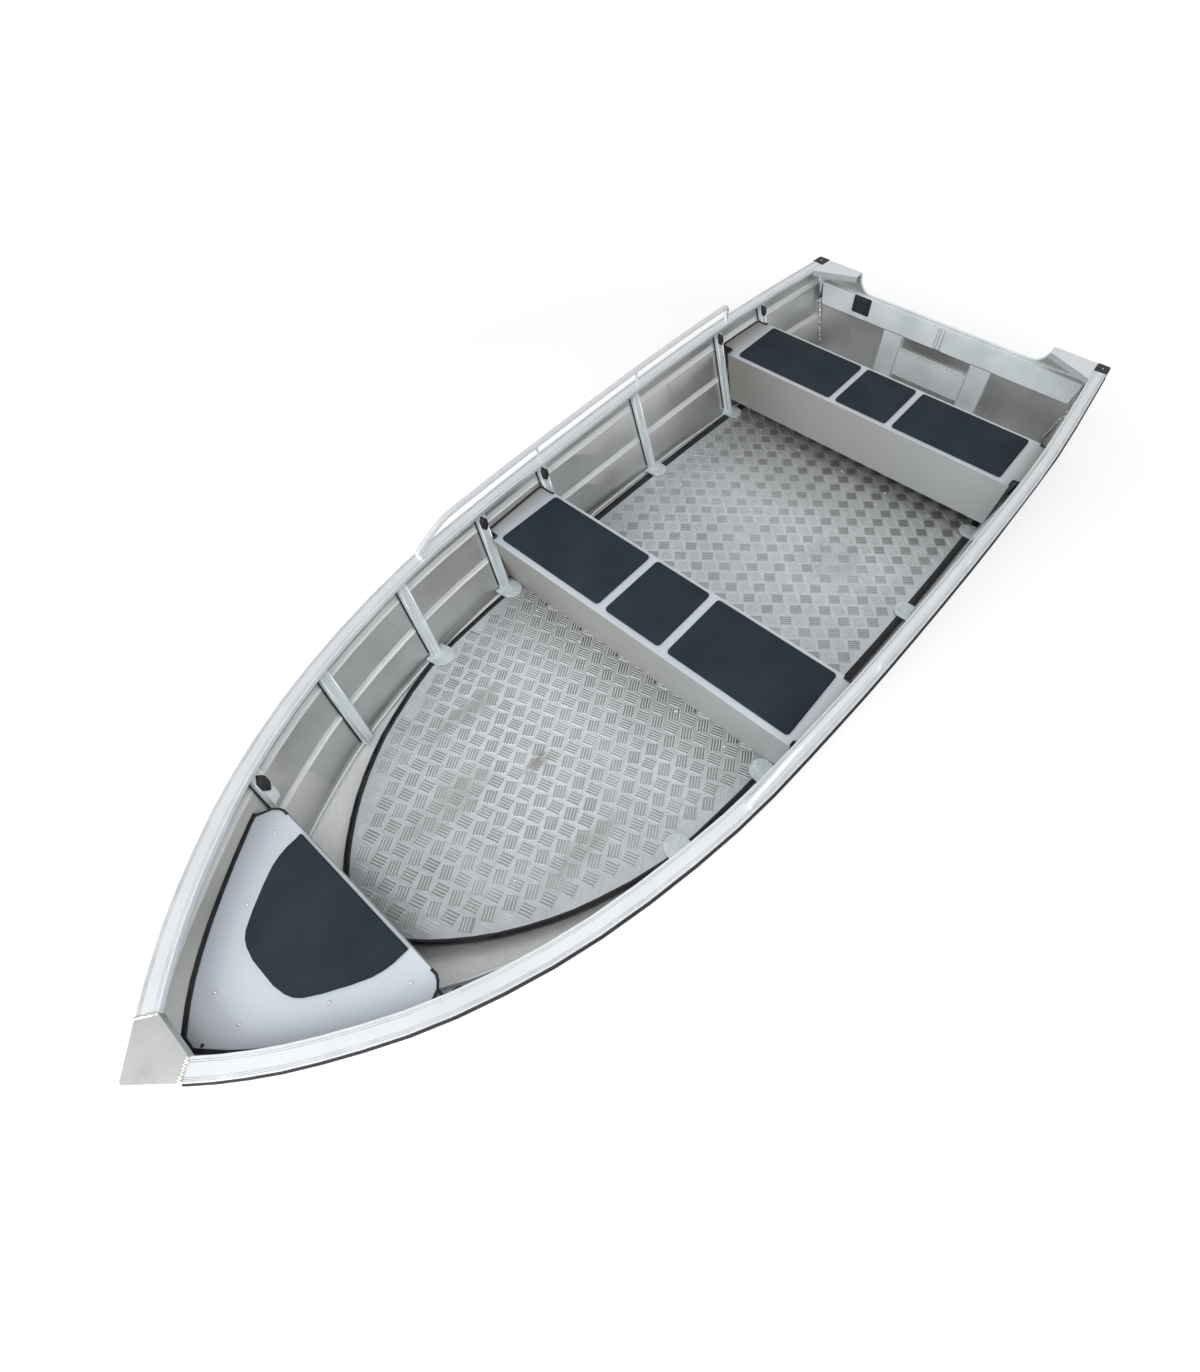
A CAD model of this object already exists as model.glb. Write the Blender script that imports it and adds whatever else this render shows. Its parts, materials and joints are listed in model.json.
"""Looks of the open aluminium boat, built round its solid part.

Metres, +X to the bow, +Y to port, +Z up; the waterline is z = 0. The pieces made
here are the tread plate's raised bars, the foam pads, rubber bumpers, trims and
beads, rivets, weld beads, the gunwales' grooves, and a blank plate on the transom.
"""
import json
import math
import random

import bmesh
import bpy
import numpy as np
from mathutils import Matrix, Vector

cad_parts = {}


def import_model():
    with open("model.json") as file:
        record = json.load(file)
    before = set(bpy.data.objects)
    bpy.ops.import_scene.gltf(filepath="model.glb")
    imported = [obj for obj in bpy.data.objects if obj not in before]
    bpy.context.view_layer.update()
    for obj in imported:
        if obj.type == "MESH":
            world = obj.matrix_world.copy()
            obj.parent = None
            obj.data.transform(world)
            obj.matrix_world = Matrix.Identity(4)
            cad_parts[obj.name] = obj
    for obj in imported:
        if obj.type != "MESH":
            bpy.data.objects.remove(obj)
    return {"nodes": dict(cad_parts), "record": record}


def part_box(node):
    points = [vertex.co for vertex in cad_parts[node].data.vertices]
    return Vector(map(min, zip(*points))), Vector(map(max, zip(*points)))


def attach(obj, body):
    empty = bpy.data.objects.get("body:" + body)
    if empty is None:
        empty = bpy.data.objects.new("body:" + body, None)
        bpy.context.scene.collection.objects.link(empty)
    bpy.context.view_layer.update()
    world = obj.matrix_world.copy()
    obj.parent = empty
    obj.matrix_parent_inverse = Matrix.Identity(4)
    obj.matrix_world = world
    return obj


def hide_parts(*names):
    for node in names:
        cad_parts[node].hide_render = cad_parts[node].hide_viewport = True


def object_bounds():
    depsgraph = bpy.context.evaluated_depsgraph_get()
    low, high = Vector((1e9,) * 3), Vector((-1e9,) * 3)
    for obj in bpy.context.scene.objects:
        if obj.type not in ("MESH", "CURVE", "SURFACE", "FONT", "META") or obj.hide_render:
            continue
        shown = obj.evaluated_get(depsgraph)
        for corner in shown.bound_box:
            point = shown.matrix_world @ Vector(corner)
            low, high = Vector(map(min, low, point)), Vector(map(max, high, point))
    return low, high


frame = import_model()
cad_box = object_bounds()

UP = Vector((0.0, 0.0, 1.0))
SIDES = (("port", 1), ("starboard", -1))
nodes = frame["nodes"]

# Camera, in the part's frame: place, direction it stands in, and framing for 1200 x 1372
CAMERA_PLACE = (1.11864, 1.03417, 2.08062)
CAMERA_AZIMUTH = 0.669623
CAMERA_ELEVATION = 1.065311
CAMERA_ROLL = -0.00144722
IMAGE_HEIGHT = 1372
FOCAL_PIXELS = 589.71
CENTRE_OFFSET = (118.29, 9.46)
SENSOR_WIDTH = 36.0

# Lamps: name, place, point aimed at, size and power
LAMPS = (
    ("key", (1.2, 2.2, 4.4), (0.0, -0.1, 0.1), (3.6, 3.6), 72.0),
    ("bow", (4.6, 0.2, 2.4), (-1.6, 0.0, 0.2), (3.5, 2.4), 100.0),
)
# Sky: strength at the horizon and high up, and how high that is
SKY_STRENGTH = (0.95, 0.70)
SKY_TOP = 0.9
# Stage: how far its two rings reach, its grey, and the lift of what the camera sees, near and far
STAGE_RINGS = (1.5, 45.0)
STAGE_GREY = 0.80
STAGE_FADE = (2.5, 7.0)
STAGE_GLOW = (0.36, 0.90)

# Edges of the solids: angle in degrees that is rounded, and the width of the round
EDGE_ANGLE = 32
EDGE_WIDTH = 0.0007
CORNER_CAP_EDGE_WIDTH = 0.0045

# Tread plate: floor plane, and for each plate its x range, one bar group's place, and the two
# steps to the next group
FLOOR_HEIGHT, FLOOR_SLOPE = 0.0704, 0.043
TREAD_PLATES = {
    "aft": (-1.46, 0.184, (-1.0911, -0.5800), (0.0761, 0.0), (0.0, 0.0967)),
    "forward": (0.184, 1.62, (0.6180, -0.2220), (0.0325, 0.0880), (0.0650, -0.0280)),
}
GROUP_REACH = 40
BARS_PER_GROUP = 5
BAR_LENGTH, BAR_WIDTH, BAR_HEIGHT, BAR_SPACING = 0.052, 0.0060, 0.0019, 0.0104
# Shares of half the bar's length and width at each corner of one long side, and of both at its top
BAR_TAPER = ((-1.0, 0.25), (-0.72, 0.85), (0.72, 0.85), (1.0, 0.25))
BAR_TOP = (0.9, 0.72)
HOLLOW_LIFT = 0.0003
HOLLOW_SHARE = 0.44
HIDDEN_FLOOR = (0.02, 0.35)
FLOOR_TOLERANCE = 0.0004

# Black strip round the floor: where its width changes, and its width aft and forward of that
FLOOR_TRIM_CHANGE = (0.05, 0.33)
FLOOR_TRIM_WIDTH = (0.028, 0.016)
FLOOR_TRIM_HEIGHT = 0.0032

# Heads: radius and height
FLOOR_HEAD = (0.0055, 0.0032)
FOOT_HEAD = (0.0046, 0.0024)
PLATFORM_HEAD = (0.0046, 0.0028)
PLATFORM_RING = (0.0062, 0.0004)
PLATFORM_HOLE_RIM = (0.0055, 0.0005)
CORNER_CAP_HEAD = (0.0036, 0.0018)
FLOOR_RIVETS = (
    (-1.180, (-0.50, -0.25, 0.01, 0.26, 0.50)),
    (-0.580, (-0.55, -0.267, 0.011, 0.261, 0.55)),
    (0.408, (-0.50, -0.25, 0.015, 0.265, 0.50)),
    (0.805, (-0.45, -0.23, 0.02, 0.24, 0.445)),
    (1.215, (-0.238, 0.0, 0.27)),
)
FOOT_RIVET_TURNS = (28, 90, 152)
PLATFORM_RIVETS = ((1.5588, 0.330), (1.7232, 0.2004), (1.8993, 0.0597))
PLATFORM_HOLE = (1.984, 0.030)

# Foam pads: round of the corners in plan and of the upper edge, and how full they are
PAD_CORNER, PAD_EDGE, PAD_FILL = 0.014, 0.003, 0.9
PLATFORM_PAD = ((1.511, 0.257), (1.575, 0.254), (1.632, 0.232),
                (1.755, 0.145), (1.782, 0.108), (1.792, 0.050))

# Ribs: which have a rubber bumper or a foot, the bumper's outline and size, and the edges
CAPPED_RIBS = (1, 2, 4, 5, 8)
FOOTED_RIBS = (2, 3, 5, 6)
CAP_OUTLINE = ((-0.5, 0.22), (-0.5, -0.24), (-0.08, -0.5), (0.08, -0.5),
               (0.5, -0.24), (0.5, 0.22), (0.08, 0.5), (-0.08, 0.5))
CAP_WIDTH, CAP_HEIGHT, CAP_PROUD, CAP_DROP = 0.032, 0.046, 0.014, 0.052
FOOT_HEIGHT = 0.010
SEAL_RADIUS = 0.0030
RIB_EDGE = 0.0026
SHORT_RIB_FOOT = 0.300

# Gunwales: their width, and for each fine groove its place, half width and height
GUNWALE_WIDTH = 0.057
GUNWALE_GROOVES = (0.0050, 0.0085, 0.0120, 0.0440, 0.0490)
GROOVE_HALF, GROOVE_RISE = 0.0008, 0.0003
# Bow weld on each side: reach to and fro, step, radius and seed
BOW_WELDS = {"port": (0.0046, 0.0040, 0.0032, 6), "starboard": (0.0024, 0.0030, 0.0034, 4)}

# Beads and trims
TRIM_RADIUS = 0.0042
PLATFORM_CORNER_RADIUS = 0.0040
RUB_FACE, RUB_BEAD = 0.0035, 0.0035
CHINE_BEAD = 0.0055
CHINE_REACH = (-1.90, 1.80)

# Transom, as in the part: top edge, rake and lowered motor edge; then the rim and the blank plate
TRANSOM_TOP_X, TRANSOM_TOP_Z, TRANSOM_RAKE = -2.105, 0.415, 0.1508
CUTOUT_TOP_HALF, CUTOUT_BOTTOM_HALF, CUTOUT_DEPTH = 0.540, 0.455, 0.079
CUTOUT_STEPS = 12
NEAR_TRANSOM_X = -1.95
RIM_RADIUS = 0.0046
PLATE_Y, PLATE_Z, PLATE_AHEAD = (-0.536, -0.430), (0.250, 0.330), (0.0284, 0.0304)
PLATE_CORNER = 0.006

# Swages of the side panels: shares of the panel's height, and half the share that one takes
SWAGES = (0.42, 0.79)
SWAGE_HALF = 0.048

# Stains on the floor: centre, half size along x and y, strength
FLOOR_STAINS = (
    ((0.91, -0.34), (0.19, 0.05), 0.55),
    ((1.01, 0.37), (0.24, 0.05), 0.5),
    ((1.15, -0.10), (0.20, 0.09), 0.42),
    ((0.895, 0.01), (0.085, 0.008), 1.0),
    ((0.885, 0.02), (0.060, 0.030), 0.9),
    ((-0.62, 0.32), (0.20, 0.20), 0.35),
)


# ---- node materials

def add_node(tree, kind, inputs=(), **settings):
    """A new node in a tree; each of its inputs takes a value or another node's output."""
    made = tree.nodes.new(kind)
    for key, value in settings.items():
        setattr(made, key, value)
    for key, value in dict(inputs).items():
        if isinstance(value, bpy.types.NodeSocket):
            tree.links.new(value, made.inputs[key])
        else:
            made.inputs[key].default_value = value
    return made


class Shade:
    """A Principled material and short calls that add nodes to it."""

    def __init__(self, name, colour, roughness, metallic):
        self.material = bpy.data.materials.new(name)
        self.material.use_nodes = True
        self.tree = self.material.node_tree
        self.shader = self.tree.nodes["Principled BSDF"]
        self.set("Base Color", (*colour, 1.0))
        self.set("Roughness", roughness)
        self.set("Metallic", metallic)
        self.place = self.node("ShaderNodeTexCoord").outputs["Object"]

    def set(self, socket, value):
        if isinstance(value, bpy.types.NodeSocket):
            self.tree.links.new(value, self.shader.inputs[socket])
        else:
            self.shader.inputs[socket].default_value = value

    def node(self, kind, inputs=(), **settings):
        return add_node(self.tree, kind, inputs, **settings)

    def stretched(self, scale, turn=0.0):
        inputs = {"Vector": self.place, "Scale": scale, "Rotation": (0, 0, turn)}
        return self.node("ShaderNodeMapping", inputs).outputs[0]

    def noise(self, scale, detail=4.0, stretch=None, turn=0.0, roughness=0.5):
        place = self.stretched(stretch, turn) if stretch else self.place
        return self.node("ShaderNodeTexNoise", {"Vector": place, "Scale": scale, "Detail": detail,
                                                "Roughness": roughness}).outputs["Fac"]

    def ramp(self, value, low, high, start=0.0, end=1.0):
        return self.node("ShaderNodeMapRange", {"Value": value, "From Min": low, "From Max": high,
                                                "To Min": start, "To Max": end}).outputs[0]

    def mix(self, share, first, second, blend="MIX"):
        made = self.node("ShaderNodeMix", data_type="RGBA", blend_type=blend)
        for index, value in ((0, share), (6, first), (7, second)):
            if isinstance(value, bpy.types.NodeSocket):
                self.tree.links.new(value, made.inputs[index])
            elif index == 0:
                made.inputs[index].default_value = value
            else:
                made.inputs[index].default_value = (*value, 1.0)
        return made.outputs[2]

    def maths(self, operation, first, second):
        return self.node("ShaderNodeMath", {0: first, 1: second}, operation=operation).outputs[0]

    def bump(self, height, distance, strength=1.0, normal=None):
        inputs = {"Height": height, "Distance": distance, "Strength": strength}
        if normal is not None:
            inputs["Normal"] = normal
        return self.node("ShaderNodeBump", inputs).outputs[0]


def plate_material():
    """Mill-finish sheet: soft blotches, a fine rolling grain and a few drips."""
    shade = Shade("plate", (0.60, 0.61, 0.60), 0.36, 0.85)
    blotch = shade.noise(2.2, 5.0, (1.0, 1.0, 1.6))
    grain = shade.noise(60.0, 3.0, (0.05, 1.0, 4.0))
    drip = shade.noise(16.0, 3.0, (1.0, 1.0, 0.12))
    tone = shade.mix(shade.ramp(blotch, 0.35, 0.68), (0.46, 0.468, 0.46), (0.68, 0.69, 0.685))
    tone = shade.mix(shade.ramp(grain, 0.35, 0.7, 0.0, 0.18), tone, (0.74, 0.73, 0.71))
    tone = shade.mix(shade.ramp(drip, 0.58, 0.72, 0.0, 0.22), tone, (0.40, 0.385, 0.35))
    shade.set("Base Color", tone)
    shade.set("Roughness", shade.ramp(blotch, 0.3, 0.7, 0.28, 0.42))
    shade.set("Normal", shade.bump(grain, 0.0003, 0.25))
    return shade.material


def swage_material():
    """Brighter band along the pressed swages and the chine flange."""
    shade = Shade("swage", (0.86, 0.86, 0.85), 0.42, 0.3)
    grain = shade.noise(60.0, 3.0, (0.05, 1.0, 4.0))
    cloud = shade.noise(4.0, 4.0)
    tone = shade.mix(shade.ramp(grain, 0.3, 0.7), (0.76, 0.775, 0.775), (0.86, 0.875, 0.875))
    shade.set("Base Color", shade.mix(shade.ramp(cloud, 0.5, 0.75, 0.0, 0.3), tone, (0.62, 0.615, 0.59)))
    shade.set("Roughness", shade.ramp(grain, 0.3, 0.7, 0.34, 0.46))
    return shade.material


def extrusion_material():
    """Bright satin extrusion of the gunwales and rails, with faint clouds and handling scuffs."""
    shade = Shade("extrusion", (0.84, 0.86, 0.88), 0.34, 0.6)
    cloud = shade.noise(5.0, 4.0)
    scuff = shade.noise(38.0, 5.0, roughness=0.65)
    tone = shade.mix(shade.ramp(cloud, 0.35, 0.7), (0.86, 0.895, 0.93), (0.93, 0.955, 0.98))
    shade.set("Base Color", shade.mix(shade.ramp(scuff, 0.55, 0.75, 0.0, 0.25), tone, (0.62, 0.64, 0.66)))
    shade.set("Roughness", shade.ramp(scuff, 0.3, 0.7, 0.28, 0.42))
    shade.set("Normal", shade.bump(scuff, 0.0002, 0.2))
    return shade.material


def milled_material():
    """Pale, faintly blue extrusions of the transom frame and the rib columns."""
    shade = Shade("milled", (0.86, 0.91, 0.94), 0.40, 0.15)
    cloud = shade.noise(7.0, 4.0)
    grain = shade.noise(150.0, 3.0, (1.0, 1.0, 0.2))
    tone = shade.mix(shade.ramp(cloud, 0.35, 0.7), (0.70, 0.76, 0.79), (0.84, 0.90, 0.925))
    shade.set("Base Color", shade.mix(shade.ramp(grain, 0.5, 0.75, 0.0, 0.3), tone, (0.64, 0.67, 0.68)))
    shade.set("Roughness", shade.ramp(cloud, 0.3, 0.7, 0.36, 0.50))
    shade.set("Normal", shade.bump(grain, 0.0002, 0.2))
    return shade.material


def spot(shade, centre, size):
    """1 inside an ellipse on the floor, fading to 0 at its ragged rim."""
    inputs = {"Vector": shade.place, "Location": (-centre[0] / size[0], -centre[1] / size[1], 0.0),
              "Scale": (1.0 / size[0], 1.0 / size[1], 0.0)}
    shift = shade.node("ShaderNodeMapping", inputs).outputs[0]
    away = shade.node("ShaderNodeVectorMath", {0: shift}, operation="LENGTH").outputs["Value"]
    ragged = shade.maths("ADD", away, shade.ramp(shade.noise(11.0, 5.0, roughness=0.7), 0.2, 0.8, -0.6, 0.6))
    return shade.ramp(ragged, 0.4, 1.0, 1.0, 0.0)


def near_seats(shade):
    """1 on the floor close in front of a seat, falling to 0 further forward."""
    along = shade.node("ShaderNodeSeparateXYZ", {0: shade.place}).outputs[0]
    aft = shade.ramp(along, -1.20, -0.72, 1.0, 0.0)
    mid = shade.maths("MULTIPLY", shade.ramp(along, 0.36, 0.62, 1.0, 0.0), shade.ramp(along, 0.1, 0.2))
    return shade.maths("MAXIMUM", aft, mid)


def tread_material():
    """Rolled tread plate: clouded grey with water stains, and darker close to the seats."""
    shade = Shade("tread", (0.45, 0.455, 0.455), 0.32, 0.6)
    cloud = shade.noise(1.7, 6.0, roughness=0.6)
    speckle = shade.noise(45.0, 4.0)
    dirt = shade.noise(9.0, 6.0, (1.0, 1.3, 1.0), 0.5, 0.7)
    tone = shade.mix(shade.ramp(cloud, 0.35, 0.7), (0.66, 0.705, 0.74), (0.82, 0.87, 0.91))
    for centre, size, strength in FLOOR_STAINS:
        dirty = shade.ramp(dirt, 0.35, 0.65, 0.2, strength)
        blotted = shade.maths("MULTIPLY", spot(shade, centre, size), dirty)
        tone = shade.mix(blotted, tone, (0.27, 0.265, 0.255))
    tone = shade.mix(shade.ramp(speckle, 0.45, 0.75, 0.0, 0.22), tone, (0.38, 0.38, 0.37))
    tone = shade.mix(shade.maths("MULTIPLY", near_seats(shade), 0.6), tone, (0.24, 0.225, 0.20))
    shade.set("Base Color", tone)
    shade.set("Roughness", shade.ramp(cloud, 0.3, 0.7, 0.30, 0.44))
    shade.set("Normal", shade.bump(speckle, 0.0004, 0.25))
    return shade.material


def bar_material():
    """The raised bars of the tread plate, worn brighter than the plate."""
    shade = Shade("bar", (0.84, 0.85, 0.86), 0.24, 0.65)
    cloud = shade.noise(2.3, 5.0)
    wear = shade.noise(30.0, 4.0)
    tone = shade.mix(shade.ramp(cloud, 0.35, 0.7), (0.74, 0.775, 0.79), (0.90, 0.93, 0.945))
    for centre, size, strength in FLOOR_STAINS:
        blotted = shade.maths("MULTIPLY", spot(shade, centre, size), 0.7 * strength)
        tone = shade.mix(blotted, tone, (0.42, 0.39, 0.35))
    shade.set("Base Color", shade.mix(shade.ramp(wear, 0.5, 0.8, 0.0, 0.3), tone, (0.52, 0.52, 0.51)))
    shade.set("Roughness", shade.ramp(wear, 0.3, 0.7, 0.24, 0.38))
    shade.set("Normal", shade.bump(wear, 0.0003, 0.2))
    return shade.material


def anodised_material():
    """Pale matt sheet of the seats and the bow platform; the hanging faces darken to starboard."""
    shade = Shade("anodised", (0.66, 0.69, 0.72), 0.50, 0.35)
    cloud = shade.noise(2.4, 4.0)
    grain = shade.noise(240.0, 2.0)
    normal = shade.node("ShaderNodeNewGeometry").outputs["Normal"]
    upward = shade.ramp(shade.node("ShaderNodeSeparateXYZ", {0: normal}).outputs[2], 0.5, 0.9)
    top = shade.mix(shade.ramp(cloud, 0.35, 0.7), (0.63, 0.68, 0.745), (0.69, 0.74, 0.79))
    across = shade.node("ShaderNodeSeparateXYZ", {0: shade.place}).outputs[1]
    ending = shade.ramp(shade.maths("ABSOLUTE", across, 0.0), 0.722, 0.80)
    top = shade.mix(ending, top, (0.40, 0.385, 0.35))
    wall = shade.mix(shade.ramp(across, -0.10, 0.65), (0.435, 0.445, 0.425), (0.53, 0.555, 0.565))
    wall = shade.mix(shade.ramp(across, -0.72, -0.25), (0.29, 0.285, 0.265), wall)
    wall = shade.mix(shade.ramp(cloud, 0.3, 0.7, 0.0, 0.30), wall, (0.58, 0.58, 0.555))
    shade.set("Base Color", shade.mix(upward, wall, top))
    shade.set("Roughness", shade.ramp(upward, 0.0, 1.0, 0.42, 0.52))
    shade.set("Normal", shade.bump(grain, 0.0002, 0.2))
    return shade.material


def rubber_material():
    """Black satin rubber, a little scuffed."""
    shade = Shade("rubber", (0.018, 0.018, 0.021), 0.55, 0.0)
    scuff = shade.noise(35.0, 5.0)
    tone = shade.mix(shade.ramp(scuff, 0.4, 0.75), (0.012, 0.012, 0.016), (0.035, 0.036, 0.042))
    shade.set("Base Color", tone)
    shade.set("Roughness", shade.ramp(scuff, 0.3, 0.7, 0.45, 0.65))
    shade.set("Normal", shade.bump(scuff, 0.0003, 0.3))
    return shade.material


def foam_material():
    """Closed-cell foam with a fine pebbled grain."""
    shade = Shade("foam", (0.012, 0.018, 0.026), 0.92, 0.0)
    shade.set("Specular IOR Level", 0.22)
    cloud = shade.noise(6.0, 4.0)
    grain = shade.noise(420.0, 2.0)
    tone = shade.mix(shade.ramp(cloud, 0.3, 0.7), (0.016, 0.025, 0.033), (0.027, 0.038, 0.049))
    shade.set("Base Color", shade.mix(shade.ramp(grain, 0.5, 0.8, 0.0, 0.3), tone, (0.055, 0.068, 0.080)))
    shade.set("Roughness", shade.ramp(cloud, 0.3, 0.7, 0.86, 0.97))
    shade.set("Normal", shade.bump(grain, 0.0006, 0.5))
    return shade.material


def zinc_material():
    """Pale bluish plate of the rib feet."""
    shade = Shade("zinc", (0.72, 0.80, 0.83), 0.38, 0.4)
    cloud = shade.noise(40.0, 4.0)
    shade.set("Base Color", shade.mix(shade.ramp(cloud, 0.3, 0.7), (0.64, 0.73, 0.77), (0.84, 0.90, 0.92)))
    shade.set("Normal", shade.bump(cloud, 0.0004, 0.3))
    return shade.material


def groove_material():
    """Shaded bottom of the fine grooves in the extrusions."""
    shade = Shade("groove", (0.42, 0.44, 0.46), 0.5, 0.5)
    patch = shade.noise(14.0, 4.0)
    shade.set("Base Color", shade.mix(shade.ramp(patch, 0.3, 0.7), (0.30, 0.32, 0.34), (0.62, 0.64, 0.66)))
    shade.set("Roughness", shade.ramp(patch, 0.3, 0.7, 0.4, 0.6))
    return shade.material


def seam_material():
    """Dark joint between two plates."""
    shade = Shade("seam", (0.05, 0.05, 0.05), 0.6, 0.0)
    patch = shade.noise(30.0, 4.0)
    tone = shade.mix(shade.ramp(patch, 0.3, 0.7), (0.025, 0.025, 0.024), (0.09, 0.09, 0.088))
    shade.set("Base Color", tone)
    shade.set("Roughness", shade.ramp(patch, 0.3, 0.7, 0.5, 0.7))
    return shade.material


def hollow_material(name, dull, bright):
    """Duller plate between the bars of one group."""
    shade = Shade(name, dull, 0.5, 0.7)
    patch = shade.noise(9.0, 4.0)
    tone = shade.mix(shade.ramp(patch, 0.3, 0.7), dull, bright)
    dirt = shade.maths("MULTIPLY", near_seats(shade), 0.8)
    shade.set("Base Color", shade.mix(dirt, tone, (0.10, 0.092, 0.08)))
    shade.set("Roughness", shade.ramp(patch, 0.3, 0.7, 0.42, 0.58))
    return shade.material


def dull_bar_material():
    """Bars lying across the rolling direction, which take less polish."""
    shade = Shade("bar_dull", (0.50, 0.50, 0.49), 0.42, 0.8)
    wear = shade.noise(7.0, 4.0)
    tone = shade.mix(shade.ramp(wear, 0.3, 0.7), (0.58, 0.60, 0.60), (0.76, 0.79, 0.80))
    dirt = shade.maths("MULTIPLY", near_seats(shade), 0.8)
    shade.set("Base Color", shade.mix(dirt, tone, (0.16, 0.147, 0.13)))
    shade.set("Roughness", shade.ramp(wear, 0.3, 0.7, 0.36, 0.5))
    return shade.material


def weld_material():
    """Bright metal of the weld beads and rivet heads, sooty in places."""
    shade = Shade("weld", (0.85, 0.85, 0.84), 0.26, 1.0)
    soot = shade.noise(80.0, 4.0)
    shade.set("Base Color", shade.mix(shade.ramp(soot, 0.45, 0.75), (0.88, 0.88, 0.87), (0.52, 0.51, 0.49)))
    shade.set("Roughness", shade.ramp(soot, 0.3, 0.7, 0.2, 0.36))
    return shade.material


# Each look: its material, and the record's slot that it belongs to
LOOKS = {
    "plate": (plate_material(), "aluminium"),
    "swage": (swage_material(), "aluminium"),
    "extrusion": (extrusion_material(), "gunwale"),
    "milled": (milled_material(), "gunwale"),
    "tread": (tread_material(), "tread"),
    "bar": (bar_material(), "tread"),
    "anodised": (anodised_material(), "seat"),
    "rubber": (rubber_material(), "rubber"),
    "foam": (foam_material(), "pad"),
    "zinc": (zinc_material(), "gunwale"),
    "weld": (weld_material(), "aluminium"),
    "groove": (groove_material(), "gunwale"),
    "seam": (seam_material(), "rubber"),
    "hollow": (hollow_material("hollow", (0.36, 0.37, 0.375), (0.52, 0.54, 0.55)), "tread"),
    "hollow_light": (hollow_material("hollow_light", (0.56, 0.58, 0.59), (0.70, 0.73, 0.75)), "tread"),
    "bar_dull": (dull_bar_material(), "tread"),
}
# The look of each slot's solids, and of those whose names start in another way
SLOT_LOOKS = {"aluminium": "plate", "gunwale": "extrusion", "tread": "tread", "rubber": "rubber",
              "pad": "foam", "seat": "anodised"}
NODE_LOOKS = (("bottom_plate", "swage"), ("breasthook", "plate"), ("rib_", "milled"),
              ("transom_beam", "milled"), ("transom_post", "milled"), ("transom_joiner", "milled"),
              ("transom_cross", "milled"), ("chine_rail", "swage"))


def dress_cad():
    """Give each solid its look and slightly rounded edges."""
    slots = {row["node"]: row["material_slot"] for row in frame["record"]["subparts"]}
    for name, item in nodes.items():
        item.data.materials.clear()
        look = next((look for start, look in NODE_LOOKS if name.startswith(start)), SLOT_LOOKS[slots[name]])
        item.data.materials.append(LOOKS[look][0])
        with bpy.context.temp_override(object=item, active_object=item, selected_objects=[item]):
            if item.data.has_custom_normals:
                bpy.ops.mesh.customdata_custom_splitnormals_clear()
        item.data.shade_smooth()
        weld = item.modifiers.new("weld", "WELD")
        weld.merge_threshold = 0.00002
        is_corner_cap = name.startswith("corner_cap")
        bevel = item.modifiers.new("edges", "BEVEL")
        bevel.limit_method = "ANGLE"
        bevel.angle_limit = math.radians(EDGE_ANGLE)
        bevel.width = CORNER_CAP_EDGE_WIDTH if is_corner_cap else EDGE_WIDTH
        bevel.segments = 3 if is_corner_cap else 2
        bevel.harden_normals = True


# ---- mesh helpers

def piece(name, mesh, look, smooth=True):
    """A new piece with its look, riding on the boat."""
    made = bpy.data.objects.new(name, mesh)
    bpy.context.scene.collection.objects.link(made)
    material, slot = LOOKS[look]
    mesh.materials.clear()
    mesh.materials.append(material)
    if smooth:
        mesh.shade_smooth()
    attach(made, "root")
    return made


def mesh_of(name, points, faces):
    """A mesh whose faces all look outward."""
    mesh = bpy.data.meshes.new(name)
    mesh.from_pydata([tuple(p) for p in points], [], faces)
    shape = bmesh.new()
    shape.from_mesh(mesh)
    bmesh.ops.recalc_face_normals(shape, faces=shape.faces)
    shape.to_mesh(mesh)
    shape.free()
    return mesh


def loft(sections):
    """Points and faces of a closed loft through sections that have equal numbers of corners."""
    corners = len(sections[0])
    points = [p for section in sections for p in section]
    faces = [tuple(reversed(range(corners))), tuple(range(len(points) - corners, len(points)))]
    for i in range(len(sections) - 1):
        for j in range(corners):
            k = (j + 1) % corners
            a, b = i * corners, (i + 1) * corners
            faces.append((a + j, a + k, b + k, b + j))
    return points, faces


def tube_sections(line, radii, corners=8):
    """Rings round a line, with a radius at each of its points."""
    sections = []
    for i, point in enumerate(line):
        run = (line[min(i + 1, len(line) - 1)] - line[max(i - 1, 0)]).normalized()
        side = run.cross(UP)
        side = side.normalized() if side.length > 0.05 else Vector((1, 0, 0)).cross(run).normalized()
        across = side.cross(run)
        turns = [2 * math.pi * k / corners for k in range(corners)]
        sections.append([point + (side * math.cos(t) + across * math.sin(t)) * radii[i] for t in turns])
    return sections


def merged(name, parts, look, smooth=True):
    """One piece from several (points, faces) lists."""
    points, faces = [], []
    for some_points, some_faces in parts:
        start = len(points)
        points += some_points
        faces += [tuple(i + start for i in face) for face in some_faces]
    return piece(name, mesh_of(name, points, faces), look, smooth)


def resampled(line, step):
    """Points at equal steps along a line."""
    lengths = [0.0]
    for a, b in zip(line, line[1:]):
        lengths.append(lengths[-1] + (b - a).length)
    count = max(2, int(lengths[-1] / step) + 1)
    made, at = [], 0
    for i in range(count):
        want = lengths[-1] * i / (count - 1)
        while at < len(line) - 2 and lengths[at + 1] < want:
            at += 1
        share = (want - lengths[at]) / max(1e-9, lengths[at + 1] - lengths[at])
        made.append(line[at].lerp(line[at + 1], min(1.0, share)))
    return made


def corners_of(node):
    """A CAD node's corner points, each once."""
    found = {}
    for vertex in nodes[node].data.vertices:
        found[tuple(round(c, 5) for c in vertex.co)] = vertex.co.copy()
    return list(found.values())


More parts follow.
